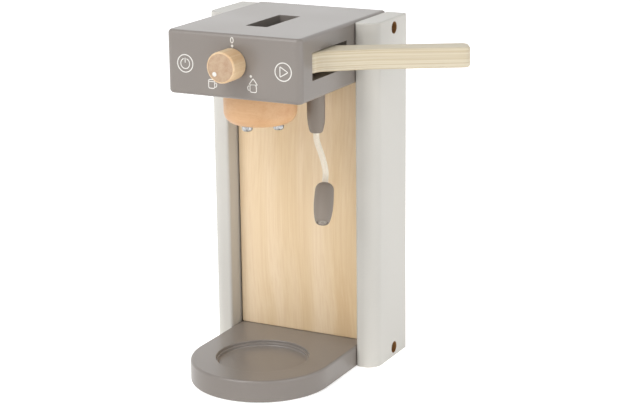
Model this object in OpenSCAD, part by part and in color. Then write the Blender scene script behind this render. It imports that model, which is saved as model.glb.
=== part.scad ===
// Wooden toy coffee maker: a painted head held between two side panels over a
// D-shaped base, with a turning selector knob, a swinging side lever, a slot for
// wooden capsules and a frother wand on a short cotton cord.
// The Z axis is the cup's axis, z = 0 is the floor, and the front faces -Y.

/* [Side panels] */
// Height of a side panel
panel_h = 240; // [200:1:300]
// Depth of a side panel, front to back
panel_d = 50; // [44:1:60]
// Thickness of a side panel
panel_t = 15; // [13:0.5:20]
// Radius of a panel's two upright front edges
panel_front_r = 5; // [3:0.5:6]
// Radius of the other outer edges of the boards
ease_r = 1; // [0.5:0.1:1.5]
// Clear width between the two side panels
inner_w = 98; // [90:1:110]

/* [Base] */
// Thickness of the base
base_t = 15; // [13:0.5:20]
// Distance from the cup's axis back to the rear of the toy
cup_to_rear = 94; // [88:1:110]
// Radius of the base's upper and lower outer edge
base_edge_r = 1.6; // [0.8:0.1:2.5]
// Diameter of the cup recess at its mouth
recess_d = 63; // [50:1:70]
// Depth of the cup recess
recess_h = 4; // [3:0.5:6]
// Width of the step inside the cup recess
recess_step = 1.2; // [1:0.1:3]

/* [Head] */
// Distance from the cup's axis forward to the face of the head
head_front = 32; // [28:1:40]
// Thickness of the head's lower board
head_bottom_t = 13; // [12:0.5:18]
// Height of the head's frame, which is the height of the side slot
head_frame_h = 18; // [17:0.5:24]
// Thickness of the head's upper board
head_top_t = 11; // [10:0.5:15]
// How far the head stands above the side panels
head_proud = 1; // [0:0.5:2]
// Thickness of the head frame's front and side walls
wall_t = 12; // [11:0.5:14]
// Radius of the head's two upright front edges
head_corner_r = 4.5; // [3:0.5:6]
// Radius of the head's upper and lower outer edges
head_edge_r = 2.5; // [1:0.5:4]
// Width of the capsule slot
capsule_slot_w = 16; // [12:0.5:18]
// Length of the capsule slot, front to back
capsule_slot_l = 46; // [40:1:48]
// Distance of the capsule slot's front end behind the cup's axis
capsule_slot_back = 0; // [0:0.5:4]
// Length of the slot in the right wall that the lever swings in
side_slot_l = 49; // [48:0.5:52]

/* [Back board] */
// Thickness of the back board
board_t = 9; // [8:0.5:12]
// How far the back board stands behind the panels' front edges
board_setback = 13; // [8:0.5:18]
// Gap between the back board and each side panel
board_gap = 0.8; // [0.3:0.1:0.9]

/* [Brew head] */
// Diameter of the brew head
brew_d = 48.5; // [44:0.5:52]
// Height of the brew head
brew_h = 22; // [18:0.5:26]
// Radius of the brew head's lower edge
brew_edge_r = 8; // [4:0.5:9]
// How far the brew head's centre lies behind the cup's axis
brew_back = 3.5; // [0:0.5:5]
// Radius of the circle that the brew head's four screws stand on
brew_screw_r = 14.5; // [12:0.5:15]

/* [Selector knob] */
// Diameter of the knob
knob_d = 20.4; // [18:0.2:24]
// Length of the knob
knob_l = 15; // [14:0.5:20]
// Radius of the knob's front rim
knob_rim_r = 1.4; // [0.6:0.2:2]
// Height of the knob's axis above the underside of the head
knob_up = 23; // [21:0.5:24]
// Diameter of the knob's spindle
spindle_d = 8; // [6:0.5:9]
// Length of the collar on the spindle's inner end
collar_l = 5; // [4:0.5:6]
// Diameter of the collar on the spindle's inner end
collar_d = 14; // [12:0.5:14]

/* [Lever] */
// Distance from the lever's pivot to its tip
lever_l = 112; // [90:1:130]
// Width of the lever's arm
lever_w = 16.5; // [14:0.5:17]
// Thickness of the lever
lever_t = 13.5; // [11:0.5:13.5]
// Radius of the lever's round inner end
lever_boss_r = 13; // [12:0.5:13]
// Distance from the lever's centre line to its front edge beside the pivot
lever_root = 15; // [14:0.5:16]
// Distance from the pivot to where the lever's taper ends
lever_taper_l = 48; // [40:1:55]
// Radius of the lever's long edges
lever_edge_r = 1.5; // [0.8:0.1:2]
// Radius of the lever's two corners at the tip, seen from above
lever_tip_r = 4.5; // [3:0.5:6]
// Angle of the lever behind the line straight out to the right
lever_angle = 30; // [26:1:31]
// Diameter of the lever's pivot dowel
pivot_d = 8; // [6:0.5:10]
// Height of the spacer ring under the lever
spacer_h = 4; // [3.5:0.5:4]

/* [Frother] */
// Diameter of the frother's holder
holder_d = 12; // [11:0.2:13]
// Length of the holder below the head
holder_l = 30; // [27:0.5:34]
// Diameter of the holder's lower end
holder_end_d = 8.6; // [7:0.2:9.6]
// Diameter of the frother's cord
cord_d = 4.1; // [3.4:0.1:4.6]
// Length of the frother wand
wand_l = 28.5; // [26:0.5:34]
// Largest diameter of the frother wand
wand_d = 13; // [12:0.2:14]
// Diameter of the wand's foot
wand_foot_d = 9.2; // [8.6:0.2:10]
// Diameter of the round nozzle in the wand's foot
nozzle_d = 5.6; // [4:0.2:6.4]

/* [Fasteners] */
// Diameter of a wood screw's shank
screw_d = 3.5; // [3:0.1:4]
// Diameter of a wood screw's head
screw_head_d = 7.2; // [6.4:0.1:7.4]
// Diameter of the counterbore over a side screw
counterbore_d = 8; // [7.8:0.1:9]
// Depth of the counterbore over a side screw
counterbore_h = 5.5; // [4:0.5:6]
// Length of a side screw from under its head
side_screw_l = 32; // [24:1:36]
// Distance of the side screws in front of the rear
side_screw_in = 20; // [16:0.5:21]
// Diameter of the glued dowels between panels, base and head
dowel_d = 6; // [5:0.5:8]
// Length of the glued dowels between panels, base and head
dowel_l = 20; // [16:1:24]
// Diameter of the glued dowels above and below the back board
board_dowel_d = 5; // [4:0.5:6]
// Length of the glued dowels above and below the back board
board_dowel_l = 18; // [14:1:20]

/* [Hidden] */
$fn = 72;

// clearances
glue_gap = 0.05;         // round a dowel, screw or tenon that is glued or driven in
run_gap = 0.05;          // round a spindle or pivot that turns
face_gap = 0.3;          // between a turning face and the face beside it
blind_gap = 0.5;         // past the end of a dowel or screw in its hole
cut = 1;                 // how far a cutter runs past the face it opens

// main planes, worked out from the sizes above
half_w = inner_w / 2;
rear_y = cup_to_rear;
panel_front_y = rear_y - panel_d;
board_front_y = panel_front_y + board_setback;
head_h = head_bottom_t + head_frame_h + head_top_t;
head_z = panel_h + head_proud - head_h;
frame_z = head_z + head_bottom_t;
lid_z = frame_z + head_frame_h;
face_y = -head_front;
inner_face_y = face_y + wall_t;
pocket_past_slot = 2;    // the pocket's rear wall behind the capsule slot
pocket_back_y = capsule_slot_back + capsule_slot_l + pocket_past_slot;

// lever: its pivot stands beside the side slot, and it rests at the slot's front end
slot_from_wall = 3.6;    // the side slot's front end behind the front wall
pivot_from_wall = 7;     // the pivot's axis inside the right wall
pivot_from_slot = 13.4;  // the pivot's axis behind the side slot's front end
side_slot_y = inner_face_y + slot_from_wall;
pivot_x = half_w - wall_t - pivot_from_wall;
pivot_y = side_slot_y + pivot_from_slot;
lever_z = frame_z + spacer_h;
pivot_sink = 6;          // how deep the pivot dowel stands in the lower board
pivot_sink_top = 5;      // how deep the pivot dowel stands in the upper board
spacer_d = 20;
nose_r = 4.2;            // the lever's stop nose
nose_x = 14.6;           // its centre beside the pivot
nose_y = 8.2;            // its centre in front of the pivot

// knob
knob_z = head_z + knob_up;
spindle_in_knob = 10;

// frother
tenon_d = 6;
tenon_l = 10;
holder_in = 17.5;        // the holder's axis inside the head's right side
holder_from_panel = 22;  // the holder's axis in front of the side panels
cord_start = [half_w - holder_in, panel_front_y - holder_from_panel, head_z - holder_l];
cord_shape = [[0, 0, 0], [0, 0, -4], [1.1, 0, -8], [2.7, 0, -12], [4.3, 0, -16.5],
    [5.5, 0.2, -21], [6.1, 0.5, -24.5], [6.5, 0.2, -27.5], [6.9, -1.1, -30.4],
    [7.9, -3.7, -33.6]];
cord_route = [for (p = cord_shape) cord_start + p];
cord_sides = 10;
cord_end = cord_route[len(cord_route) - 1];
wand_dir = unit(cord_end - cord_route[len(cord_route) - 2]);
nozzle_h = 2;
nozzle_sink = 0.6;       // how far the nozzle's face lies inside the wand's foot

// fasteners
screw_head_h = 3.4;
screw_point_l = 5;
screw_cover = 3;         // wood left over the points of the brew head's screws
brew_screw_l = brew_h + head_bottom_t - screw_cover;
brew_screw_turn = -98;
side_screw_y = rear_y - side_screw_in;
side_screw_low_z = 7;
side_screw_up = 3;       // the upper side screws' axis above the lid's lower face
side_screw_top_z = lid_z + side_screw_up;
dowel_in_panel = 8;
side_dowel_front_in = 12;
side_dowel_rear_in = 8;
side_dowel_y = [panel_front_y + side_dowel_front_in, rear_y - side_dowel_rear_in];
side_dowel_z = [base_t / 2, frame_z + head_frame_h / 2];
board_dowel_x = 24;
board_dowel_sink = 7;

paint_grey = "#cfccc5";
paint_taupe = "#9b938c";
birch = "#eed3a8";
beech = "#e3be94";
pine = "#e6d9b8";
cotton = "#e5dac6";
zinc = "#b9bcc0";

function unit(v) = v / norm(v);
// a point on a circle of radius r round [x, y], at the angle a
function on_circle(x, y, r, a) = [x + r * cos(a), y + r * sin(a)];
// points of an arc round [x, y] of radius r, from angle a to angle b
function arc(x, y, r, a, b, n = 12) = [for (i = [0 : n]) on_circle(x, y, r, a + (b - a) * i / n)];

// ---- shared shapes ----

// a rectangle from [0, 0] to [w, h] whose four corners have the radii r[0] to r[3],
// counted anticlockwise from the corner at [0, 0]
module soft_rect(w, h, r) {
    corner = [[0, 0, 1, 1], [w, 0, -1, 1], [w, h, -1, -1], [0, h, 1, -1]];
    difference() {
        square([w, h]);
        for (i = [0 : 3])
            translate([corner[i][0], corner[i][1]])
                scale([corner[i][2], corner[i][3]])
                    difference() {
                        translate([-cut, -cut])
                            square(r[i] + cut);
                        translate([r[i], r[i]])
                            circle(r[i]);
                    }
    }
}

// a board with its lowest corner at the origin: plan, side and front give the corner
// radii seen from above, from the right and from the front
module soft_board(w, d, h, plan, side, front) {
    intersection() {
        linear_extrude(h)
            soft_rect(w, d, plan);
        rotate([90, 0, 90])
            linear_extrude(w)
                soft_rect(d, h, side);
        translate([0, d, 0])
            rotate([90, 0, 0])
                linear_extrude(d)
                    soft_rect(w, h, front);
    }
}

// a round bar along Z from z0 to z1
module bar(d, z0, z1) {
    translate([0, 0, z0])
        cylinder(d = d, h = z1 - z0);
}

// a dowel along Z with small chamfers, standing on the origin
module dowel(d, l) {
    chamfer = 0.6;
    rotate_extrude()
        polygon([[0, 0], [d / 2 - chamfer, 0], [d / 2, chamfer], [d / 2, l - chamfer],
            [d / 2 - chamfer, l], [0, l]]);
}

// a pan-head wood screw along +Z: the underside of its head is at z = 0
module wood_screw(l) {
    dome_r = screw_head_h * 0.55;
    cross_l = screw_head_d * 0.55;
    cross_w = 0.9;
    cross_h = 1.3;
    difference() {
        rotate_extrude()
            polygon(concat([[0, l], [screw_d / 2, l - screw_point_l], [screw_d / 2, 0],
                [screw_head_d / 2, 0]],
                arc(screw_head_d / 2 - dome_r, -screw_head_h + dome_r, dome_r, 0, -90, 6),
                [[0, -screw_head_h]]));
        for (turn = [0, 90])
            rotate(turn)
                translate([-cross_l / 2, -cross_w / 2, -screw_head_h - cut])
                    cube([cross_l, cross_w, cross_h + cut]);
    }
}

// the hole that a wood screw's shank cuts for itself, along +Z from z = 0
module screw_hole(l) {
    translate([0, 0, -cut])
        cylinder(d = screw_d + 2 * glue_gap, h = l + cut + blind_gap);
}

// puts its children at the four screw places of the brew head
module at_brew_screws() {
    for (i = [0 : 3])
        translate([brew_screw_r * cos(brew_screw_turn + 90 * i),
            brew_back + brew_screw_r * sin(brew_screw_turn + 90 * i), head_z - brew_h])
            children();
}

// puts its children at each side screw's seat, with +Z pointing into the toy
module at_side_screws(side) {
    for (z = [side_screw_low_z, side_screw_top_z])
        translate([side * (half_w + panel_t - counterbore_h), side_screw_y, z])
            rotate([0, -90 * side, 0])
                children();
}

// puts its children at the outer end of each side dowel, with +Z pointing into the toy
module at_side_dowels(side) {
    for (y = side_dowel_y, z = side_dowel_z)
        translate([side * (half_w + dowel_in_panel), y, z])
            rotate([0, -90 * side, 0])
                children();
}

// puts its children at the lower end of each of the back board's dowels
module at_board_dowels() {
    for (x = [-board_dowel_x, board_dowel_x],
        z = [base_t - board_dowel_sink, head_z + board_dowel_sink - board_dowel_l])
        translate([x, board_front_y + board_t / 2, z])
            children();
}

module dowel_hole(d, l) {
    translate([0, 0, -blind_gap / 2])
        cylinder(d = d + 2 * glue_gap, h = l + blind_gap);
}

// ---- base ----

module base_plate() {
    color(paint_taupe)
        difference() {
            union() {
                rotate_extrude()
                    translate([0, base_edge_r])
                        union() {
                            translate([0, -base_edge_r])
                                square([half_w - base_edge_r, base_t]);
                            square([half_w, base_t - 2 * base_edge_r]);
                            translate([half_w - base_edge_r, 0])
                                circle(base_edge_r);
                            translate([half_w - base_edge_r, base_t - 2 * base_edge_r])
                                circle(base_edge_r);
                        }
                translate([-half_w, 0, 0])
                    soft_board(inner_w, rear_y, base_t, [0, 0, ease_r, ease_r],
                        [0, ease_r, ease_r, 0],
                        [base_edge_r, base_edge_r, base_edge_r, base_edge_r]);
            }
            cup_recess();
            for (side = [-1, 1]) {
                at_side_screws(side)
                    screw_hole(side_screw_l);
                at_side_dowels(side)
                    dowel_hole(dowel_d, dowel_l);
            }
            at_board_dowels()
                dowel_hole(board_dowel_d, board_dowel_l);
        }
}

// the stepped round recess that a toy cup stands in, with a small round at its floor
module cup_recess() {
    floor_r = 0.8;
    lip_r = 0.6;
    mouth_r = recess_d / 2;
    well_r = mouth_r - recess_step;
    translate([0, 0, base_t])
        rotate_extrude()
            polygon(concat([[0, cut], [mouth_r + lip_r, cut]],
                arc(mouth_r + lip_r, -lip_r, lip_r, 90, 180, 6),
                [[mouth_r, -recess_h / 2]],
                arc(well_r + lip_r, -recess_h / 2 - lip_r, lip_r, 90, 180, 6),
                arc(well_r - floor_r, -recess_h + floor_r, floor_r, 0, -90, 6),
                [[0, -recess_h]]));
}

// ---- side panels and back board ----

// a side panel on the +X side; the front upright edges are well rounded
module side_panel() {
    difference() {
        translate([half_w, panel_front_y, 0])
            soft_board(panel_t, panel_d, panel_h,
                [panel_front_r, panel_front_r, ease_r, ease_r],
                [ease_r, ease_r, ease_r, ease_r], [ease_r, ease_r, ease_r, ease_r]);
        at_side_screws(1) {
            screw_hole(panel_t);
            translate([0, 0, -counterbore_h - cut])
                cylinder(d = counterbore_d, h = counterbore_h + cut);
        }
        at_side_dowels(1)
            dowel_hole(dowel_d, dowel_l);
    }
}

module right_side_panel() {
    color(paint_grey)
        side_panel();
}

module left_side_panel() {
    color(paint_grey)
        mirror([1, 0, 0])
            side_panel();
}

module back_board() {
    corner_r = 1.2;
    color(birch)
        difference() {
            translate([-half_w + board_gap, board_front_y, base_t])
                soft_board(inner_w - 2 * board_gap, board_t, head_z - base_t,
                    [ease_r, ease_r, ease_r, ease_r], [0, 0, 0, 0],
                    [corner_r, corner_r, corner_r, corner_r]);
            at_board_dowels()
                dowel_hole(board_dowel_d, board_dowel_l);
        }
}

// ---- head ----

// the outer shape that the head's three layers share
module head_block() {
    translate([-half_w, face_y, head_z])
        soft_board(inner_w, rear_y - face_y, head_h,
            [head_corner_r, head_corner_r, ease_r, ease_r],
            [head_edge_r, ease_r, ease_r, head_edge_r],
            [head_edge_r, head_edge_r, head_edge_r, head_edge_r]);
}

// the layer of the head between the heights z0 and z1
module head_layer(z0, z1) {
    intersection() {
        head_block();
        translate([-half_w - cut, face_y - cut, z0])
            cube([inner_w + 2 * cut, rear_y - face_y + 2 * cut, z1 - z0]);
    }
}

module head_bottom() {
    color(paint_taupe)
        difference() {
            head_layer(head_z, frame_z);
            at_brew_screws()
                screw_hole(brew_screw_l);
            translate([pivot_x, pivot_y, frame_z - pivot_sink])
                bar(pivot_d + 2 * glue_gap, -blind_gap, pivot_sink + cut);
            translate([cord_start[0], cord_start[1], head_z])
                bar(tenon_d + 2 * glue_gap, -cut, tenon_l + blind_gap);
            at_board_dowels()
                dowel_hole(board_dowel_d, board_dowel_l);
        }
}

// the middle layer: a pocket behind the front wall, open to the right through the side slot
module head_frame() {
    pocket_w = inner_w - 2 * wall_t;
    pocket_r = 3;
    color(paint_taupe)
        difference() {
            head_layer(frame_z, lid_z);
            translate([-pocket_w / 2, inner_face_y, frame_z - cut])
                linear_extrude(head_frame_h + 2 * cut)
                    soft_rect(pocket_w, pocket_back_y - inner_face_y,
                        [pocket_r, pocket_r, pocket_r, pocket_r]);
            translate([pocket_w / 2 - cut, side_slot_y, frame_z - cut])
                cube([wall_t + 2 * cut, side_slot_l, head_frame_h + 2 * cut]);
            translate([0, face_y, knob_z])
                rotate([-90, 0, 0])
                    bar(spindle_d + 2 * run_gap, -cut, wall_t + cut);
            for (side = [-1, 1])
                at_side_dowels(side)
                    dowel_hole(dowel_d, dowel_l);
        }
}

module head_top() {
    color(paint_taupe)
        difference() {
            head_layer(lid_z, lid_z + head_top_t);
            translate([-capsule_slot_w / 2, capsule_slot_back, lid_z - cut])
                linear_extrude(head_top_t + 2 * cut)
                    soft_rect(capsule_slot_w, capsule_slot_l, [1, 1, 1, 1]);
            translate([pivot_x, pivot_y, lid_z])
                bar(pivot_d + 2 * glue_gap, -cut, pivot_sink_top + blind_gap);
            for (side = [-1, 1])
                at_side_screws(side)
                    screw_hole(side_screw_l);
        }
}

// ---- brew head ----

module brew_head() {
    top_r = 1;
    r = brew_d / 2;
    color(beech)
        difference() {
            translate([0, brew_back, head_z - brew_h])
                rotate_extrude()
                    union() {
                        square([r - brew_edge_r, brew_h]);
                        translate([0, brew_edge_r])
                            square([r, brew_h - brew_edge_r - top_r]);
                        translate([0, brew_h - top_r - cut])
                            square([r - top_r, top_r + cut]);
                        translate([r - brew_edge_r, brew_edge_r])
                            circle(brew_edge_r);
                        translate([r - top_r, brew_h - top_r])
                            circle(top_r);
                    }
            at_brew_screws()
                screw_hole(brew_screw_l);
        }
}

module brew_head_screws() {
    color(zinc)
        at_brew_screws()
            wood_screw(brew_screw_l);
}

// ---- selector knob ----

// puts its children on the knob's axis at the head's face, with +Z pointing forward
module at_knob() {
    translate([0, face_y, knob_z])
        rotate([90, 0, 0])
            children();
}

module selector_knob() {
    back_r = 0.6;
    r = knob_d / 2;
    color(beech)
        at_knob()
            difference() {
                translate([0, 0, face_gap])
                    rotate_extrude()
                        union() {
                            square([r - knob_rim_r, knob_l]);
                            translate([0, back_r])
                                square([r, knob_l - back_r - knob_rim_r]);
                            translate([r - knob_rim_r, knob_l - knob_rim_r])
                                circle(knob_rim_r);
                            square([r - back_r, back_r + cut]);
                            translate([r - back_r, back_r])
                                circle(back_r);
                        }
                bar(spindle_d + 2 * glue_gap, face_gap - cut,
                    face_gap + spindle_in_knob + blind_gap);
            }
}

module knob_spindle() {
    inner_end = wall_t + face_gap + collar_l;
    color(beech)
        at_knob()
            translate([0, 0, -inner_end])
                dowel(spindle_d, inner_end + face_gap + spindle_in_knob);
}

module knob_collar() {
    color(beech)
        at_knob()
            translate([0, 0, -wall_t - face_gap - collar_l])
                difference() {
                    cylinder(d = collar_d, h = collar_l);
                    bar(spindle_d + 2 * glue_gap, -cut, collar_l + cut);
                }
}

// ---- lever ----

// The lever's outline, seen from above with the arm along +X and the pivot at the
// origin, is a chain of arcs joined by straight tangents. Each arc is
// [centre x, centre y, radius, first angle, last angle, steps], and a negative radius
// stands for a hollow corner, whose centre lies outside the lever.
half_arm = lever_w / 2;
tip_x = lever_l - lever_tip_r;
tip_y = half_arm - lever_tip_r;
rear_hollow_r = 6;
rear_hollow_x = sqrt(pow(lever_boss_r + rear_hollow_r, 2) - pow(half_arm + rear_hollow_r, 2));
rear_hollow_a = atan2(half_arm + rear_hollow_r, rear_hollow_x);
nose_at = turned([nose_x, -nose_y], -lever_angle);
nose_a = atan2(nose_at[1], nose_at[0]) - acos((lever_boss_r - nose_r) / norm(nose_at));
taper_a = -acos((lever_root - half_arm) / lever_taper_l);
taper_out = [cos(taper_a), sin(taper_a)];
taper_along = [-sin(taper_a), cos(taper_a)];
nose_hollow_r = 10;
nose_hollow_rise = lever_root + nose_hollow_r - nose_at * taper_out;
nose_hollow_run = sqrt(pow(nose_r + nose_hollow_r, 2) - pow(nose_hollow_rise, 2));
nose_hollow = nose_at + nose_hollow_rise * taper_out + nose_hollow_run * taper_along;
nose_hollow_a = atan2(nose_hollow[1] - nose_at[1], nose_hollow[0] - nose_at[0]);
arm_hollow_r = 40;
arm_hollow_y = -half_arm - arm_hollow_r;
arm_hollow_x = (lever_root + arm_hollow_r - arm_hollow_y * taper_out[1]) / taper_out[0];
lever_arcs = [
    [tip_x, tip_y, lever_tip_r, 0, 90, 6],
    [rear_hollow_x, half_arm + rear_hollow_r, -rear_hollow_r, -90, rear_hollow_a - 180, 4],
    [0, 0, lever_boss_r, rear_hollow_a, nose_a + 360, 20],
    [nose_at[0], nose_at[1], nose_r, nose_a, nose_hollow_a, 8],
    [nose_hollow[0], nose_hollow[1], -nose_hollow_r, nose_hollow_a + 180, taper_a + 180, 6],
    [arm_hollow_x, arm_hollow_y, -arm_hollow_r, taper_a + 180, 90, 2],
    [tip_x, -tip_y, lever_tip_r, -90, 0, 6]];

function turned(v, a) = [v[0] * cos(a) - v[1] * sin(a), v[0] * sin(a) + v[1] * cos(a)];

// the lever's outline, drawn in by the distance inset
function lever_outline(inset) = [for (c = lever_arcs)
    each arc(c[0], c[1], abs(c[2]) - sign(c[2]) * inset, c[3], c[4], c[5])];

// The lever without its bore: outlines stacked so that every long edge is rounded. The
// flat faces are fans round a point in the arm from which the whole outline can be seen.
module lever_blank() {
    quarter = [for (a = [-90 : 30 : 0])
        [lever_edge_r * (1 - cos(a)), lever_edge_r * (1 + sin(a))]];
    levels = concat(quarter, [for (i = [len(quarter) - 1 : -1 : 0])
        [quarter[i][0], lever_t - quarter[i][1]]]);
    n = len(lever_outline(0));
    top = len(levels) - 1;
    fan_x = lever_boss_r + 1;
    low_fan = (top + 1) * n;
    high_fan = low_fan + 1;
    polyhedron(
        points = concat(
            [for (level = levels, p = lever_outline(level[0])) [p[0], p[1], level[1]]],
            [[fan_x, 0, 0], [fan_x, 0, lever_t]]),
        faces = concat(
            [for (k = [0 : n - 1]) [low_fan, k, (k + 1) % n]],
            [for (i = [0 : top - 1], k = [0 : n - 1])
                [i * n + k, (i + 1) * n + k, (i + 1) * n + (k + 1) % n, i * n + (k + 1) % n]],
            [for (k = [0 : n - 1]) [high_fan, top * n + (k + 1) % n, top * n + k]]));
}

module brew_lever() {
    color(pine)
        translate([pivot_x, pivot_y, lever_z])
            difference() {
                rotate(lever_angle)
                    lever_blank();
                bar(pivot_d + 2 * run_gap, -cut, lever_t + cut);
            }
}

module lever_pivot_dowel() {
    color(beech)
        translate([pivot_x, pivot_y, frame_z - pivot_sink])
            dowel(pivot_d, pivot_sink + head_frame_h + pivot_sink_top);
}

module lever_spacer() {
    color(beech)
        translate([pivot_x, pivot_y, frame_z])
            difference() {
                cylinder(d = spacer_d, h = spacer_h);
                bar(pivot_d + 2 * run_gap, -cut, spacer_h + cut);
            }
}

// ---- frother ----

// a turned holder: straight at the top, drawn in towards its lower end in a quarter ellipse
module frother_holder() {
    drawn_l = 9;
    end_r = 1.2;
    color(paint_taupe)
        translate([cord_start[0], cord_start[1], head_z])
            rotate([180, 0, 0]) {
                rotate_extrude()
                    polygon(concat([[0, 0], [holder_d / 2, 0], [holder_d / 2, holder_l - drawn_l]],
                        [for (a = [10 : 10 : 70])
                            [holder_end_d / 2 + (holder_d - holder_end_d) / 2 * cos(a),
                                holder_l - drawn_l + (drawn_l - end_r) * sin(a)]],
                        arc(holder_end_d / 2 - end_r, holder_l - end_r, end_r, 0, 90, 4),
                        [[0, holder_l]]));
                bar(tenon_d, -tenon_l, cut);
            }
}

// the sides of ring i of the cord, square to the mean of the stretches that meet there
function cord_ring(i) =
    let (n = len(cord_route) - 1,
        along = unit(cord_route[min(i + 1, n)] - cord_route[max(i - 1, 0)]),
        side = unit(cross(along, [0, 1, 0])),
        other = cross(along, side))
    [for (k = [0 : cord_sides - 1])
        cord_route[i] + cord_d / 2 * (cos(360 * k / cord_sides) * side
            + sin(360 * k / cord_sides) * other)];

module frother_cord() {
    last = len(cord_route) - 1;
    color(cotton)
        polyhedron(
            points = [for (i = [0 : last]) each cord_ring(i)],
            faces = concat(
                [[for (k = [0 : cord_sides - 1]) k]],
                [for (i = [0 : last - 1], k = [0 : cord_sides - 1])
                    each [[i * cord_sides + k, (i + 1) * cord_sides + k,
                            (i + 1) * cord_sides + (k + 1) % cord_sides],
                        [i * cord_sides + k, (i + 1) * cord_sides + (k + 1) % cord_sides,
                            i * cord_sides + (k + 1) % cord_sides]]],
                [[for (k = [cord_sides - 1 : -1 : 0]) last * cord_sides + k]]));
}

// puts its children at the cord's lower end, with +Z along the wand towards its foot
module at_wand() {
    translate(cord_end)
        rotate([0, acos(wand_dir[2]), atan2(wand_dir[1], wand_dir[0])])
            children();
}

// a turned wand: round shoulder, nearly straight body, foot drawn in to a shallow well
module frother_wand() {
    shoulder_l = 4.5;
    foot_l = 15;
    neck_r = cord_d / 2 + 0.6;
    r = wand_d / 2;
    foot_r = wand_foot_d / 2;
    rim_r = 0.8;
    color(paint_taupe)
        at_wand()
            difference() {
                rotate_extrude()
                    polygon(concat([[0, 0], [neck_r, 0]],
                        [for (a = [15 : 15 : 90])
                            [neck_r + (r - neck_r) * sin(a), shoulder_l * (1 - cos(a))]],
                        [for (a = [0 : 12 : 72])
                            [foot_r + (r - foot_r) * cos(a),
                                wand_l - foot_l + (foot_l - rim_r) * sin(a)]],
                        arc(foot_r - rim_r, wand_l - rim_r, rim_r, 0, 90, 4),
                        [[0, wand_l]]));
                translate([0, 0, wand_l - nozzle_sink - nozzle_h])
                    cylinder(d = nozzle_d + 2 * glue_gap, h = nozzle_sink + nozzle_h + cut);
            }
}

module wand_nozzle() {
    color(paint_grey)
        at_wand()
            translate([0, 0, wand_l - nozzle_sink - nozzle_h])
                cylinder(d = nozzle_d, h = nozzle_h);
}

// ---- fasteners ----

module side_screws() {
    color(zinc)
        for (side = [-1, 1])
            at_side_screws(side)
                wood_screw(side_screw_l);
}

module side_dowels() {
    color(beech)
        for (side = [-1, 1])
            at_side_dowels(side)
                dowel(dowel_d, dowel_l);
}

module board_dowels() {
    color(beech)
        at_board_dowels()
            dowel(board_dowel_d, board_dowel_l);
}

base_plate();
left_side_panel();
right_side_panel();
back_board();
head_bottom();
head_frame();
head_top();
brew_head();
brew_head_screws();
selector_knob();
knob_spindle();
knob_collar();
brew_lever();
lever_pivot_dowel();
lever_spacer();
frother_holder();
frother_cord();
frother_wand();
wand_nozzle();
side_screws();
side_dowels();
board_dowels();
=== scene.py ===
import math

import bpy
import numpy as np
from mathutils import Matrix, Vector


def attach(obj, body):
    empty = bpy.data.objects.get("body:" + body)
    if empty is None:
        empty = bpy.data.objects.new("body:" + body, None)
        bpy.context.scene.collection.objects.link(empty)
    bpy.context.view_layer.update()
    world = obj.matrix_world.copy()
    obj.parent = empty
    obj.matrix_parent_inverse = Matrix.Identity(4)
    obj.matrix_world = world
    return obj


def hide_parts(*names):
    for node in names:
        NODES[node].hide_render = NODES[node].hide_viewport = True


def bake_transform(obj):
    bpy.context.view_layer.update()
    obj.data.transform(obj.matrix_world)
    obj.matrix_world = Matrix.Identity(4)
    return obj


# ---------------------------------------------------------------- frame
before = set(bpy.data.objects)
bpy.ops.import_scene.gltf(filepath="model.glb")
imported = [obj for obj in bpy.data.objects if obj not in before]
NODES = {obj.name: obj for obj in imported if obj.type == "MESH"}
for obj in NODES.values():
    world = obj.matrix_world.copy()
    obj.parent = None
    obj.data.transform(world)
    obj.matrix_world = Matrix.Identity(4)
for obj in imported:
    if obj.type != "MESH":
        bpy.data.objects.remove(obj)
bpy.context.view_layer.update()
MM = 0.001

# main planes of the toy in millimetres: the sides and rear of the head and base, the
# head's face, underside and inside, the panels, the base's top and the back board
HALF_W = 49.0
REAR = 94.0
FACE = -32.0
HEAD_Z = 199.0
FRAME_Z = 212.0
LID_Z = 230.0
TOP_Z = 241.0
PANEL_FRONT = 44.0
PANEL_T = 15.0
PANEL_TOP = 240.0
BASE_TOP = 15.0
BOARD_HALF_W = 48.2
BOARD_FRONT, BOARD_REAR = 57.0, 66.0

# the head's openings seen from above (x0, y0, x1, y1), and what stands in or under it
CAPSULE_SLOT = (-8, 0, 8, 46)
POCKET = (-37, -20, 37, 48)
SIDE_SLOT = (36, -16.4, 52, 32.6)
DOWEL_BORE_R = 4.05
KNOB_Z = 222.0
KNOB_R = 10.2
KNOB_L = 15.3
PIVOT = (30.0, -3.0)
LEVER_Z = 216.0
LEVER_T = 13.5
LEVER_ANGLE = 30.0
BREW_Y = 3.5
BREW_FOOT = 177.0
HOLDER = (31.5, 22.0)
HOLDER_L = 30.0
SCREW_Y = 74
SCREW_ROWS = (7, 233)
COUNTERBORE_R, COUNTERBORE_DEPTH = 4, 5.5

# how far the print stands proud of the head's face
PRINT_PROUD = 0.04

# the studio: the surround's strength for soft light and in reflections, the floor's own
# glow in front of the toy and far from there, and where in metres that change happens
SKY = 0.16
SKY_IN_GLOSS = 1.4
FLOOR_GLOW = (0.35, 0.92)
GLOW_CENTRE = (0.1, -0.35, 0)
GLOW_FROM, GLOW_TO = 0.2, 0.6

# each lamp's name, place in metres, size and power, and the point that all of them face
LAMPS = [
    ("key", (-0.7, -2.2, 1.35), 1.3, 17.5),
    ("high", (-0.45, -1.3, 2.1), 1.3, 33),
    ("right", (1.6, -0.2, 0.5), 1.4, 11.5),
]
LAMP_AIM = (0, 0.02, 0.12)

# the photograph's camera: turn, height and tilt in degrees, place in metres, focal length
CAMERA_ANGLES = (27.30, 15.29, -0.61)
CAMERA_SPOT = (0.5623, -1.0022, 0.4371)
CAMERA_LENS = 100.87


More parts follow.
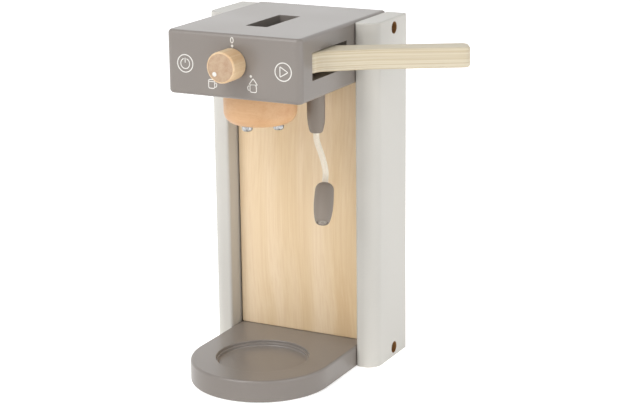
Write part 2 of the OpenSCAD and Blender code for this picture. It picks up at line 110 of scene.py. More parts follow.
# ---------------------------------------------------------------- colours and nodes
def srgb(code):
    """A hex colour as linear red, green, blue and alpha 1: below 0.04045 divide by
    12.92, above it add 0.055, divide by 1.055 and raise to the power 2.4."""
    part = [int(code[i : i + 2], 16) / 255 for i in (1, 3, 5)]
    return [p / 12.92 if p <= 0.04045 else ((p + 0.055) / 1.055) ** 2.4 for p in part] + [1.0]


class Tree:
    """A material's node tree with one short way to add a node."""

    def __init__(self, name):
        self.material = bpy.data.materials.new(name)
        self.material.use_nodes = True
        self.tree = self.material.node_tree
        self.tree.nodes.clear()
        self.shader = self.add("BsdfPrincipled")
        out = self.add("OutputMaterial")
        self.tree.links.new(self.shader.outputs[0], out.inputs["Surface"])

    def add(self, kind, inputs=None, **settings):
        """Adds a shader node. Settings are its properties. Inputs map a socket's name or
        number to a value, or to another node's socket, which is then linked."""
        node = self.tree.nodes.new("ShaderNode" + kind)
        for key, value in settings.items():
            setattr(node, key, value)
        self.feed(node, inputs or {})
        return node

    def feed(self, node, inputs):
        """Links or sets a node's inputs, as add does."""
        for key, value in inputs.items():
            if isinstance(value, bpy.types.NodeSocket):
                self.tree.links.new(value, node.inputs[key])
            else:
                node.inputs[key].default_value = value

    def coords(self, scale, turn=(0, 0, 0)):
        """Object coordinates turned by degrees and stretched: a small scale along an
        axis makes everything long in that direction."""
        source = self.add("TexCoord")
        turned = self.add(
            "Mapping",
            {0: source.outputs["Object"], "Rotation": [math.radians(t) for t in turn]},
        )
        return self.add("Mapping", {0: turned.outputs[0], "Scale": scale}).outputs[0]

    def noise(self, where, scale, detail=3.0, rough=0.5):
        """A cloudy value from 0 to 1; scale is in patches per unit of where."""
        return self.add(
            "TexNoise", {"Vector": where, "Scale": scale, "Detail": detail, "Roughness": rough}
        ).outputs[0]

    def spread(self, value, low, high, to_low=0.0, to_high=1.0):
        """Maps the range low to high onto to_low to to_high, and stops at its ends."""
        node = self.add(
            "MapRange",
            {0: value, 1: low, 2: high, 3: to_low, 4: to_high},
            interpolation_type="SMOOTHSTEP",
        )
        return node.outputs[0]

    def maths(self, kind, a, b):
        """One sum, difference or product of two values."""
        return self.add("Math", {0: a, 1: b}, operation=kind).outputs[0]

    def mix(self, amount, a, b):
        """The colour a at amount 0 and b at amount 1."""
        node = self.add("Mix", data_type="RGBA")
        self.feed(node, {0: amount, 6: a, 7: b})
        return node.outputs[2]

    def bump(self, height, strength, distance, before=None):
        """A normal bent by a height map, on top of another bent normal if one is given."""
        node = self.add("Bump", {"Height": height, "Strength": strength, "Distance": distance})
        if before is not None:
            self.feed(node, {"Normal": before})
        return node.outputs[0]

    def finish(self, **inputs):
        """Feeds the shader, whose socket names are written with _ for a space."""
        self.feed(self.shader, {key.replace("_", " "): value for key, value in inputs.items()})
        return self.material


def shaded(colour, factor):
    """A hex colour as linear values times a factor, and alpha 1."""
    return [min(1, c * factor) for c in srgb(colour)[:3]] + [1]


def painted(name, colour, shade=0.025, rough=(0.28, 0.32)):
    """Satin paint on wood: a faint cloud in the colour and the gloss, roller stipple about
    a millimetre across and long soft waves of the wood under it."""
    t = Tree(name)
    space = t.coords((1, 1, 1))
    cloud = t.noise(space, 16, 1, 0.4)
    stipple = t.noise(space, 700, 1, 0.4)
    waves = t.noise(t.coords((220, 220, 14)), 1.0, 2, 0.5)
    dark = shaded(colour, 1 - shade)
    light = shaded(colour, 1 + shade)
    skin = t.mix(t.spread(cloud, 0.3, 0.7), dark, light)
    speck = t.mix(t.spread(stipple, 0.35, 0.65, 0.0, 0.3), skin, light)
    normal = t.bump(stipple, 0.02, 0.0001)
    normal = t.bump(waves, 0.03, 0.0002, normal)
    return t.finish(
        Base_Color=speck, Roughness=t.spread(cloud, 0.3, 0.7, *rough), Normal=normal, IOR=1.46
    )


def wood(name, colours, along, band, line, bend, fleck=0.0):
    """Sawn and lacquered wood. Broad soft bands and fine growth lines run along the grain
    and sway together with a slow noise; fibres roughen the gloss, and beech has short dark
    flecks. colours are the dark, middle and light tones, along is the axis of the grain
    (0, 1 or 2), band and line are widths in millimetres, bend is how far they sway and
    fleck how strongly the flecks show."""
    t = Tree(name)
    dark, middle, light = (srgb(c) for c in colours)

    def stretched(cross, length):
        """Coordinates with cross patches a metre over the grain and length along it."""
        scale = [cross] * 3
        scale[along] = length
        return t.coords(scale)

    sway = t.noise(stretched(14, 4.5), 1.0, 1, 0.5)

    def swayed(width, length):
        """Stretched coordinates pushed across the grain by the sway."""
        push = t.add("CombineXYZ")
        for axis in range(3):
            if axis != along:
                t.feed(push, {axis: t.maths("MULTIPLY", sway, bend * 18 / width)})
        where = stretched(1000 / width, length)
        return t.add("VectorMath", {0: where, 1: push.outputs[0]}, operation="ADD").outputs[0]

    bands = t.noise(swayed(band, 3.0), 1.0, 2, 0.5)
    lines = t.noise(swayed(line, 9.0), 1.0, 3, 0.55)
    fibre = t.noise(stretched(2600, 90), 1.0, 3, 0.6)
    tone = t.mix(t.spread(bands, 0.34, 0.66), middle, light)
    tone = t.mix(t.spread(lines, 0.42, 0.66, 0.0, 0.22), tone, dark)
    tone = t.mix(t.spread(lines, 0.28, 0.44, 0.35, 0.0), tone, light)
    tone = t.mix(t.spread(bands, 0.26, 0.42, 0.35, 0.0), tone, dark)
    tone = t.mix(t.spread(fibre, 0.45, 0.75, 0.0, 0.14), tone, dark)
    height = t.maths("ADD", fibre, t.maths("MULTIPLY", lines, 0.5))
    if fleck:
        cells = t.add(
            "TexVoronoi", {"Vector": stretched(1100, 260), "Scale": 1.0, "Randomness": 1.0}
        )
        dash = t.spread(cells.outputs["Distance"], 0.10, 0.30, fleck, 0.0)
        tone = t.mix(dash, tone, dark)
        height = t.maths("SUBTRACT", height, dash)
    return t.finish(
        Base_Color=tone,
        Roughness=t.spread(fibre, 0.3, 0.7, 0.42, 0.55),
        Normal=t.bump(height, 0.16, 0.0002),
        IOR=1.45,
    )


def plywood(name, colours, ply, turn):
    """Plywood seen on its edges: layers stacked in height, each with its own tone, thin
    darker glue lines, and on the flat faces fine fibres along the turned X axis. ply is
    a layer's thickness in millimetres."""
    t = Tree(name)
    dark, middle, light = (srgb(c) for c in colours)
    layers = t.noise(t.coords((4, 4, 1000 / ply)), 1.0, 1, 0.4)
    glue = t.noise(t.coords((9, 9, 2600 / ply)), 1.0, 1, 0.5)
    fibre = t.noise(t.coords((28, 1500, 1500), turn), 1.0, 3, 0.6)
    streak = t.noise(t.coords((6, 240, 10), turn), 1.0, 2, 0.5)
    tone = t.mix(t.spread(layers, 0.38, 0.62), middle, light)
    tone = t.mix(t.spread(glue, 0.52, 0.68, 0.0, 0.42), tone, dark)
    tone = t.mix(t.spread(streak, 0.45, 0.7, 0.0, 0.22), tone, dark)
    tone = t.mix(t.spread(fibre, 0.45, 0.75, 0.0, 0.14), tone, dark)
    height = t.maths("ADD", fibre, t.maths("MULTIPLY", glue, 0.6))
    return t.finish(
        Base_Color=tone,
        Roughness=t.spread(fibre, 0.3, 0.7, 0.44, 0.56),
        Normal=t.bump(height, 0.14, 0.0002),
        IOR=1.45,
    )


def cotton(name, colour):
    """Cotton yarn: short crossing fibres in the colour and the relief, with a soft sheen."""
    t = Tree(name)
    space = t.coords((1, 1, 1))
    fuzz = t.noise(space, 3200, 4, 0.7)
    cloud = t.noise(space, 400, 2, 0.5)
    tone = t.mix(t.spread(fuzz, 0.3, 0.7), shaded(colour, 0.80), srgb(colour))
    tone = t.mix(t.spread(cloud, 0.4, 0.7, 0.0, 0.2), tone, srgb("#f3ecdd"))
    return t.finish(
        Base_Color=tone,
        Roughness=t.spread(fuzz, 0.2, 0.8, 0.85, 0.98),
        Normal=t.bump(fuzz, 0.5, 0.0002),
        Sheen_Weight=0.35,
        Sheen_Roughness=0.6,
    )


def zinc(name, dull, bright):
    """Zinc plate: fine turning marks, a cloudy roughness and a drift between two tones."""
    t = Tree(name)
    space = t.coords((1, 1, 1))
    cloud = t.noise(space, 700, 3, 0.6)
    marks = t.noise(t.coords((300, 300, 5000)), 1.0, 2, 0.5)
    tone = t.mix(t.spread(cloud, 0.35, 0.65), srgb(dull), srgb(bright))
    return t.finish(
        Base_Color=tone,
        Metallic=1.0,
        Roughness=t.spread(cloud, 0.3, 0.7, 0.28, 0.42),
        Normal=t.bump(marks, 0.08, 0.00005),
    )


def printed(name, colour):
    """White screen print: slightly uneven ink with a fine grain."""
    t = Tree(name)
    grain = t.noise(t.coords((1, 1, 1)), 2600, 3, 0.6)
    ink = t.mix(t.spread(grain, 0.35, 0.6), shaded(colour, 0.93), srgb(colour))
    return t.finish(
        Base_Color=ink,
        Roughness=t.spread(grain, 0.3, 0.7, 0.5, 0.62),
        Normal=t.bump(grain, 0.05, 0.00003),
    )


# Sprayed satin paint in warm taupe on the base and head: broad soft reflections and a
# stipple that is felt more than seen
TAUPE = painted("taupe satin paint", "#817a74")
# The same paint dipped on the turned holder and wand, which dries duller: no streak of light
# Its colour is a little darker and warmer than the taupe: painted shade of the bay under the
# head and a painted warm reflection of the back board
SHADED_DULL_TAUPE = painted("dull taupe paint with painted shade", "#80766c", 0.025, (0.50, 0.58))
# Sprayed satin paint in warm pale grey on the side panels: nearly matt and even
PALE = painted("pale grey satin paint", "#c3c0b9", 0.02, (0.36, 0.42))
# Paint of the nozzle in the wand's foot: a little paler and smoother than the wand
NOZZLE = painted("nozzle paint", "#a39a90", 0.02, (0.30, 0.36))
# White pad print of the marks and the knob's dot: flat ink with a slightly uneven edge tone
PRINT = printed("white print", "#dfdcd6")
# Planed pine under clear satin lacquer, the back board: pale upright bands, hardly any gloss
BOARD = wood("pine board", ("#d4b083", "#e4c9a0", "#eed7b6"), 2, 19.0, 1.3, 1.2)
# Turned beech under clear lacquer, the knob, its grain along its axis: warm, with short flecks
KNOB_WOOD = wood("beech knob", ("#c1986a", "#d3b38c", "#ddc39e"), 1, 5.0, 0.9, 0.6, 0.35)
# End grain of the knob's face: pinker and greyer than the side, since it drinks the lacquer
END_WOOD = wood("beech end grain", ("#a27f5e", "#b2967c", "#b9a085"), 1, 4.0, 0.7, 0.6, 0.25)
# Turned beech, the brew head, its grain from side to side: more orange and even in tone
BREW_WOOD = wood("beech brew head", ("#c39064", "#d0a377", "#d6ad82"), 0, 8.0, 1.1, 0.8, 0.3)
# Sawn birch plywood, the lever: pale level layers with thin darker lines between them
LEVER_WOOD = plywood(
    "lever plywood", ("#ab9775", "#c0b297", "#cdc3ad"), 1.2, (0, 0, -LEVER_ANGLE)
)
# Unlacquered dowels and the drilled wood inside the counterbores: bare wood brown, darkened as
# painted shade deep in the counterbores
BARE_WOOD_WITH_HOLE_SHADE = wood("bare wood with painted hole shade", ("#7d5733", "#8f6840", "#a07a50"), 0, 3.0, 0.7, 0.6, 0.3)
# Braided undyed cotton of the cord: off-white, fuzzy and quite without gloss
COTTON = cotton("natural cotton", "#efe4d0")
# Bright zinc plate on the brew head's steel screws: grey, with small sharp lights
ZINC = zinc("zinc plated steel", "#868788", "#bcbcba")
# Yellow zinc plate on the steel screws deep in the panels: a dull brass tone
YELLOW_ZINC = zinc("yellow zinc plated steel", "#7d6442", "#c4a06a")


# ---------------------------------------------------------------- meshes
def chain(arcs, inset=0.0, between=0):
    """Points of a closed outline made of arcs that straight tangents join, anticlockwise.
    An arc is centre x, centre y, radius, first angle, last angle and steps. A negative
    radius stands for a hollow corner. Drawing the outline in by inset makes a corner's
    radius smaller and a hollow's larger; a point is centre + radius * (cos a, sin a).
    Each straight gets as many points between its ends as between says."""
    parts = []
    for x, y, r, first, last, steps in arcs:
        size = max(abs(r) - math.copysign(inset, r), 0.01)
        a = np.radians(np.linspace(first, last, steps + 1))
        parts.append(np.stack([x + size * np.cos(a), y + size * np.sin(a)], 1))
    points = []
    for part, after in zip(parts, parts[1:] + parts[:1]):
        share = np.linspace(0, 1, between + 2)[1:-1, None]
        points += [part, part[-1] * (1 - share) + after[0] * share]
    return np.concatenate(points)


def box_arcs(x0, y0, x1, y1, radii, steps=8):
    """The arcs of a rectangle, with radii for its lower left corner and on anticlockwise."""
    corners = [(x0, y0, 1, 1), (x1, y0, -1, 1), (x1, y1, -1, -1), (x0, y1, 1, -1)]
    return [
        (x + sx * r, y + sy * r, r, 180 + 90 * i, 270 + 90 * i, steps)
        for i, ((x, y, sx, sy), r) in enumerate(zip(corners, radii))
    ]


def rounding(r, steps=5):
    """Inset and rise of a quarter round from its flat end: inset = r (1 - cos a) and
    rise = r (1 + sin a), for a from -90 to 0 degrees."""
    return [
        (r * (1 - math.cos(a)), r * (1 + math.sin(a)))
        for a in np.radians(np.linspace(-90, 0, steps + 1))
    ]


def rings_mesh(name, rings):
    """Joins equally long rings of points into a closed skin: point k of ring i joins its
    neighbour k + 1 and the same two of ring i + 1 in a quad, and the first and last rings
    get flat caps. Points are in millimetres."""
    n = len(rings[0])
    points = np.concatenate([np.asarray(r, float) for r in rings]) * MM
    faces = []
    for i in range(len(rings) - 1):
        a, b = i * n, (i + 1) * n
        faces += [(a + k, a + (k + 1) % n, b + (k + 1) % n, b + k) for k in range(n)]
    faces.append(tuple(range(n - 1, -1, -1)))
    faces.append(tuple((len(rings) - 1) * n + k for k in range(n)))
    mesh = bpy.data.meshes.new(name)
    mesh.from_pydata(points.tolist(), [], faces)
    mesh.validate()
    return mesh


def place(name, mesh, material, body, replaced=(), soft=True, extra=()):
    """Makes the object of a mesh, with its materials, its body and the
    nodes that it stands for. soft gives large faces flat shading across round edges."""
    obj = bpy.data.objects.new(name, mesh)
    bpy.context.scene.collection.objects.link(obj)
    for m in (material, *extra):
        mesh.materials.append(m)
    mesh.shade_smooth()
    if soft:
        weigh = obj.modifiers.new("even shading", "WEIGHTED_NORMAL")
        weigh.keep_sharp = True
    if replaced:
        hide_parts(*replaced)
    if body:
        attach(obj, body)
    return obj


def prism(name, arcs, levels):
    """A stack of one outline, each level being (inset, height): the outline drawn in by
    the inset and lifted to the height."""
    rings = []
    for inset, z in levels:
        flat = chain(arcs, inset)
        rings.append(np.column_stack([flat, np.full(len(flat), z)]))
    return rings_mesh(name, rings)


def board_levels(z0, z1, low_r, high_r, steps=5):
    """The levels of a board from z0 to z1 with rounded lower and upper edges."""
    low = [(inset, z0 + rise) for inset, rise in rounding(low_r, steps)]
    high = [(inset, z1 - rise) for inset, rise in rounding(high_r, steps)]
    return low + high[::-1]


def turned(profile, centre, axis=(0, 0, 1), steps=96):
    """A turned piece: profile points (radius, height) swept round the axis through
    centre. A ring is centre + height * axis + radius * (cos a * u + sin a * v)."""
    axis = Vector(axis).normalized()
    u = axis.orthogonal().normalized()
    v = axis.cross(u)
    a = np.linspace(0, 2 * math.pi, steps, endpoint=False)
    round_part = np.outer(np.cos(a), u) + np.outer(np.sin(a), v)
    return [
        np.array(centre) + height * np.array(axis) + radius * round_part
        for radius, height in profile
    ]


def carve(mesh, cutters, bevel, inner=False):
    """Cuts closed meshes out of a mesh and rounds the edges that this leaves sharper than
    40 degrees. Two stand-in materials mark the faces while they are cut: those made by
    the cutters keep the second material's number if inner is true."""
    body = bpy.data.objects.new("work", mesh)
    bpy.context.scene.collection.objects.link(body)
    for m in (TAUPE, BARE_WOOD_WITH_HOLE_SHADE):
        mesh.materials.append(m)
    tools = []
    for cutter in cutters:
        for m in (TAUPE, BARE_WOOD_WITH_HOLE_SHADE):
            cutter.materials.append(m)
        cutter.polygons.foreach_set("material_index", [1 if inner else 0] * len(cutter.polygons))
        tool = bpy.data.objects.new("cutter", cutter)
        bpy.context.scene.collection.objects.link(tool)
        cut = body.modifiers.new("cut", "BOOLEAN")
        cut.object, cut.solver, cut.operation = tool, "EXACT", "DIFFERENCE"
        tools.append(tool)
    if bevel:
        edge = body.modifiers.new("edge", "BEVEL")
        edge.width, edge.segments = bevel * MM, 3
        edge.limit_method, edge.angle_limit = "ANGLE", math.radians(40)
    bpy.context.view_layer.update()
    graph = bpy.context.evaluated_depsgraph_get()
    result = bpy.data.meshes.new_from_object(body.evaluated_get(graph), depsgraph=graph)
    index = np.empty(len(result.polygons), np.int32)
    result.polygons.foreach_get("material_index", index)
    result.materials.clear()
    result.polygons.foreach_set("material_index", index)
    for tool in tools:
        bpy.data.objects.remove(tool)
    bpy.data.objects.remove(body)
    return result


def dowel_bore(low, high, centre, axis=(0, 0, 1)):
    """A cutter for a dowel's bore, from low to high along the axis through centre."""
    profile = [(DOWEL_BORE_R, low), (DOWEL_BORE_R, high)]
    return rings_mesh("bore", turned(profile, centre, axis, 48))


# ---------------------------------------------------------------- head and case
def make_head():
    """The painted head: a block with rounded edges, cut by the capsule slot, the pocket,
    the lever's side slot, the bore of the knob's spindle and the two seats of the
    lever's pivot."""
    outer = box_arcs(-HALF_W, FACE, HALF_W, REAR, (4.5, 4.5, 2.6, 2.6), 8)
    block = prism("head", outer, board_levels(HEAD_Z, TOP_Z, 2.5, 2.5, 6))
    inside = [(0, FRAME_Z), (0, LID_Z)]
    cutters = [
        prism("slot", box_arcs(*CAPSULE_SLOT, (1,) * 4, 4), [(0, LID_Z - 1), (0, TOP_Z + 2)]),
        prism("pocket", box_arcs(*POCKET, (3,) * 4, 5), inside),
        prism("side", box_arcs(*SIDE_SLOT, (0.02,) * 4, 1), inside),
        dowel_bore(FACE - 2, POCKET[1] + 1, (0, 0, KNOB_Z), (0, 1, 0)),
        dowel_bore(FRAME_Z - 7, FRAME_Z + 1, (*PIVOT, 0)),
        dowel_bore(LID_Z - 1, LID_Z + 6, (*PIVOT, 0)),
    ]
    mesh = carve(block, cutters, 0.5)
    place(
        "head_block", mesh, TAUPE, "body", ("head_bottom", "head_frame", "head_top")
    )


def make_base():
    """The D-shaped base: outline rings up its rounded edges, across the top to the round
    recess and down its two steps. Each recess ring lies on the same rays as the outline."""
    rear_r = 1.7
    between = 40
    arcs = [
        (0, 0, HALF_W, 180, 360, 96),
        (HALF_W - rear_r, REAR - rear_r, rear_r, 0, 90, 6),
        (-HALF_W + rear_r, REAR - rear_r, rear_r, 90, 180, 6),
    ]
    rings = []
    for inset, z in board_levels(0, BASE_TOP, 1.0, 1.6, 5):
        flat = chain(arcs, inset, between)
        rings.append(np.column_stack([flat, np.full(len(flat), z)]))
    rays = chain(arcs, 0, between)
    rays = rays / np.linalg.norm(rays, axis=1)[:, None]
    # radius and height from the recess's soft rim over its step to its floor
    recess = [(32.1, BASE_TOP), (31.8, 14.92), (31.57, 14.7), (31.5, 14.4), (31.5, 13.2)]
    recess += [(31.4, 13.05), (31.1, 13.0), (30.6, 13.0), (30.38, 12.92), (30.3, 12.7)]
    recess += [(30.3, 11.8), (30.05, 11.25), (29.5, 11.0)]
    for r, z in recess:
        rings.append(np.column_stack([rays * r, np.full(len(rays), z)]))
    place("base", rings_mesh("base", rings), TAUPE, "body", ("base_plate",))


def make_panels():
    """The two side panels: a well rounded outer front edge, soft other edges, and a
    counterbore of bare wood over each screw, its brown darkened as painted shade."""
    for side, name in ((1, "right_side_panel"), (-1, "left_side_panel")):
        outside = HALF_W + PANEL_T
        x0, x1 = sorted((side * HALF_W, side * outside))
        # radii of the edges at x0 and x1: the one beside the bay is small, the outer one large
        front = (2.0, 10.0)[::side]
        arcs = box_arcs(x0, PANEL_FRONT, x1, REAR, (*front, 1.05, 1.05), 12)
        board = prism(name, arcs, board_levels(0, PANEL_TOP, 1, 1, 4))
        hole = [(COUNTERBORE_R, outside - COUNTERBORE_DEPTH), (COUNTERBORE_R, outside + 1)]
        holes = [
            rings_mesh("hole", turned(hole, (0, SCREW_Y, z), (side, 0, 0), 48))
            for z in SCREW_ROWS
        ]
        # the counterbores' walls get the bare wood darkened as painted shade
        mesh = carve(board, holes, 0.35, True)
        place(
            name + "_board", mesh, PALE, "body", (name,), extra=(BARE_WOOD_WITH_HOLE_SHADE,)
        )


def make_back_board():
    """The bare back board, with small rounded edges and a narrow gap on both sides."""
    arcs = box_arcs(-BOARD_HALF_W, BOARD_FRONT, BOARD_HALF_W, BOARD_REAR, (1.05,) * 4, 4)
    mesh = prism("back_board", arcs, board_levels(BASE_TOP, HEAD_Z, 0.8, 0.2, 3))
    place("back_board_wood", mesh, BOARD, "body", ("back_board",))


# ---------------------------------------------------------------- lever
def lever_arcs():
    """The lever seen from above, its arm along +X from the pivot: tip corners, a hollow
    behind the boss, the boss, the stop nose, the hollow beside it and the slight hollow
    where the taper meets the arm. Each arc touches its neighbours' common tangents."""
    arm, boss, root, tip, length, taper = 8.25, 13.0, 15.0, 4.5, 112.0, 48.0
    nose_r, near_r, rear_r, far_r = 4.2, 10.0, 6.0, 40.0
    a = math.radians(-LEVER_ANGLE)
    nose_x, nose_y = 14.6, -8.2
    nose = np.array(
        [
            nose_x * math.cos(a) - nose_y * math.sin(a),
            nose_x * math.sin(a) + nose_y * math.cos(a),
        ]
    )
    rear_x = math.sqrt((boss + rear_r) ** 2 - (arm + rear_r) ** 2)
    rear_a = math.degrees(math.atan2(arm + rear_r, rear_x))
    nose_a = math.degrees(
        math.atan2(nose[1], nose[0]) - math.acos((boss - nose_r) / np.linalg.norm(nose))
    )
    taper_a = -math.degrees(math.acos((root - arm) / taper))
    out = np.array([math.cos(math.radians(taper_a)), math.sin(math.radians(taper_a))])
    along = np.array([-out[1], out[0]])
    rise = root + near_r - nose @ out
    near = nose + rise * out + math.sqrt((nose_r + near_r) ** 2 - rise**2) * along
    near_a = math.degrees(math.atan2(*(near - nose)[::-1]))
    far_x = (root + far_r + (arm + far_r) * out[1]) / out[0]
    return [
        (length - tip, arm - tip, tip, 0, 90, 10),
        (rear_x, arm + rear_r, -rear_r, -90, rear_a - 180, 6),
        (0, 0, boss, rear_a, nose_a + 360, 40),
        (*nose, nose_r, nose_a, near_a, 14),
        (*near, -near_r, near_a + 180, taper_a + 180, 10),
        (far_x, -arm - far_r, -far_r, taper_a + 180, 90, 4),
        (length - tip, tip - arm, tip, -90, 0, 10),
    ]


def make_lever():
    """The lever: its outline stacked with rounded long edges, bored, and turned to lie in
    the side slot."""
    top = LEVER_Z + LEVER_T
    mesh = prism("lever", lever_arcs(), board_levels(LEVER_Z, top, 1.5, 1.5, 6))
    mesh = carve(mesh, [dowel_bore(LEVER_Z - 2, top + 2.5, (0, 0, 0))], 0)
    turn = Matrix.Rotation(math.radians(LEVER_ANGLE), 4, "Z")
    mesh.transform(Matrix.Translation((PIVOT[0] * MM, PIVOT[1] * MM, 0)) @ turn)
    place("lever", mesh, LEVER_WOOD, "lever", ("brew_lever",))


# ---------------------------------------------------------------- turned pieces
def make_knob():
    """The turned knob with a soft front rim, and its white dot just proud of the face."""
    rim_r = 1.4
    profile = [(0.01, 0.3), (9.6, 0.3), (9.9, 0.4), (10.1, 0.6)]
    profile += [(KNOB_R, 0.95), (KNOB_R, 7), (KNOB_R, 13.6)]
    profile += [
        (KNOB_R - rim_r + rim_r * math.cos(a), KNOB_L - rim_r + rim_r * math.sin(a))
        for a in np.radians(np.linspace(12, 90, 8))
    ]
    profile += [(6, KNOB_L), (3, KNOB_L), (0.01, KNOB_L)]
    rings = turned(profile, (0, FACE, KNOB_Z), (0, -1, 0))
    mesh = rings_mesh("knob", rings)
    # what looks straight ahead shows end grain
    for polygon in mesh.polygons:
        polygon.material_index = int(polygon.normal.y < -0.97)
    place("knob", mesh, KNOB_WOOD, "knob", ("selector_knob",), extra=(END_WOOD,))
    a, from_axis = math.radians(225), 6.1
    y = FACE - KNOB_L + 0.03
    spot = (from_axis * math.cos(a), y, KNOB_Z + from_axis * math.sin(a))
    dot = turned([(1.5, 0), (1.5, 0.05), (1.38, 0.08)], spot, (0, -1, 0), 40)
    place("knob_dot", rings_mesh("knob_dot", dot), PRINT, "knob")


def make_brew_head():
    """The round brew head: flat top edge, full round at the bottom and a flat underside."""
    radius, foot_r = 24.25, 8
    profile = [(0.01, HEAD_Z), (22.9, HEAD_Z), (23.7, 198.75), (radius, 198.2), (radius, 190)]
    profile += [
        (radius - foot_r + foot_r * math.cos(a), BREW_FOOT + foot_r - foot_r * math.sin(a))
        for a in np.radians(np.linspace(0, 90, 14))
    ]
    profile += [(8, BREW_FOOT), (0.01, BREW_FOOT)]
    mesh = rings_mesh("brew", turned(profile, (0, BREW_Y, 0), steps=128)[::-1])
    place("brew_head_wood", mesh, BREW_WOOD, "body", ("brew_head",))


def make_holder():
    """The frother's holder, straight and then drawn in to a rounded lower end."""
    low = HEAD_Z - HOLDER_L
    foot = [(3.0, 0), (3.7, 0.2), (4.25, 0.7), (4.6, 1.6), (4.9, 2.9), (5.25, 4.4), (5.55, 6.0)]
    foot += [(5.8, 8.0), (5.95, 10), (6.0, 12), (6.0, HOLDER_L)]
    profile = [(r, low + z) for r, z in foot]
    mesh = rings_mesh(
        "holder", turned([(0.01, low), *profile, (0.01, HEAD_Z)], (*HOLDER, 0), steps=64)
    )
    place("holder", mesh, SHADED_DULL_TAUPE, "body", ("frother_holder",))


# the cord's start at the holder's foot, and its route from there, as in the solids
CORD_START = np.array([*HOLDER, HEAD_Z - HOLDER_L])
CORD_SHAPE = [(0, 0, 0), (0, 0, -4), (1.1, 0, -8), (2.7, 0, -12), (4.3, 0, -16.5)]
CORD_SHAPE += [(5.5, 0.2, -21), (6.1, 0.5, -24.5), (6.5, 0.2, -27.5), (6.9, -1.1, -30.4)]
CORD_SHAPE += [(7.9, -3.7, -33.6)]


def smooth_path(points, steps):
    """A smooth line through points: between two of them a cubic whose ends lean the way
    from the point before to the point after (Catmull-Rom)."""
    p = np.array(points, float)
    p = np.vstack([2 * p[0] - p[1], p, 2 * p[-1] - p[-2]])
    line = []
    for i in range(1, len(p) - 2):
        for t in np.linspace(0, 1, steps, endpoint=False):
            a, b, c, d = p[i - 1 : i + 3]
            line.append(
                0.5 * (2 * b + (c - a) * t + (2 * a - 5 * b + 4 * c - d) * t**2
                       + (3 * b - a - 3 * c + d) * t**3)
            )
    line.append(p[-2])
    return np.array(line)


def make_frother():
    """The cord as a braided tube, and the wand turned about the cord's last direction. A
    ring of the cord has radius 2 plus 0.06 sin(6 a + 1.8 s) sin(6 a - 1.8 s) at the
    angle a and the length s, whose diamonds are the braid's yarns."""
    radius, relief, yarns, lay = 2.0, 0.06, 6, 1.8
    line = smooth_path(CORD_SHAPE, 12) + CORD_START
    along = np.gradient(line, axis=0)
    along /= np.linalg.norm(along, axis=1)[:, None]
    length = np.concatenate([[0], np.cumsum(np.linalg.norm(np.diff(line, axis=0), axis=1))])
    side = np.cross(along, [0, 1, 0])
    side /= np.linalg.norm(side, axis=1)[:, None]
    other = np.cross(along, side)
    a = np.linspace(0, 2 * math.pi, 72, endpoint=False)
    rings = []
    for centre, s, o, at in zip(line, side, other, length):
        weave = np.sin(yarns * a + lay * at) * np.sin(yarns * a - lay * at)
        r = (radius + relief * weave)[:, None]
        rings.append(centre + r * (np.cos(a)[:, None] * s + np.sin(a)[:, None] * o))
    mesh = rings_mesh("cord", rings)
    cord = place("cord", mesh, COTTON, None, ("frother_cord",), False)
    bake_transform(cord)
    end, lean = line[-1], along[-1]
    profile = [(0.01, 0), (2.6, 0)]
    profile += [
        (2.65 + 3.6 * math.sin(a), 4.6 * (1 - math.cos(a)))
        for a in np.radians(np.linspace(10, 90, 9))
    ]
    profile += [(6.4, 8), (6.5, 11.5), (6.48, 15), (6.3, 18.5), (6.0, 21.5), (5.6, 24)]
    profile += [(5.2, 25.8), (4.8, 27.0), (4.45, 27.8), (4.1, 28.3), (3.8, 28.5), (3.55, 28.4)]
    profile += [(3.4, 28.0), (3.35, 27.0), (0.01, 27.0)]
    mesh = rings_mesh("wand", turned(profile, end, lean, 64))
    wand = place("wand", mesh, SHADED_DULL_TAUPE, "frother", ("frother_wand",))
    plug = [(0.01, 25.9), (3.0, 25.9), (3.0, 27.4), (2.95, 27.9), (2.7, 28.3), (2.3, 28.5)]
    plug += [(1.8, 28.45), (1.35, 28.2), (1.1, 27.8), (1.0, 27.2), (0.01, 27.0)]
    mesh = rings_mesh("nozzle", turned(plug, end, lean, 48))
    nozzle = place("nozzle", mesh, NOZZLE, "frother", ("wand_nozzle",))
    return cord, wand, nozzle, line * MM, length[-1] * MM


# ---------------------------------------------------------------- marks
def stroke(path, width, closed=False, steps=10):
    """A flat line of the given width along path, with round ends if it isn't closed. The
    two edges lie half a width from the path, along the mean normal at each point."""
    p = np.array(path, float)
    if closed:
        ahead, behind = np.roll(p, -1, 0), np.roll(p, 1, 0)
    else:
        ahead = np.vstack([p[1:], 2 * p[-1] - p[-2]])
        behind = np.vstack([2 * p[0] - p[1], p[:-1]])
    d1, d0 = ahead - p, p - behind
    d1 /= np.linalg.norm(d1, axis=1)[:, None]
    d0 /= np.linalg.norm(d0, axis=1)[:, None]
    n1 = np.column_stack([-d1[:, 1], d1[:, 0]])
    n0 = np.column_stack([-d0[:, 1], d0[:, 0]])
    mean = n1 + n0
    mean /= (mean * n1).sum(1)[:, None]
    left, right = p + mean * width / 2, p - mean * width / 2
    n = len(p)
    points = np.concatenate([left, right]).tolist()
    faces = [(k, n + k, n + (k + 1) % n, (k + 1) % n) for k in range(n if closed else n - 1)]
    if not closed:
        for centre, lead in ((p[0], d1[0]), (p[-1], -d1[-1])):
            first = math.atan2(lead[1], lead[0]) + math.pi / 2
            a = first + math.pi * np.arange(steps + 1) / steps
            faces.append(tuple(len(points) + i for i in range(steps + 1)))
            points += (centre + width / 2 * np.column_stack([np.cos(a), np.sin(a)])).tolist()
    return points, faces


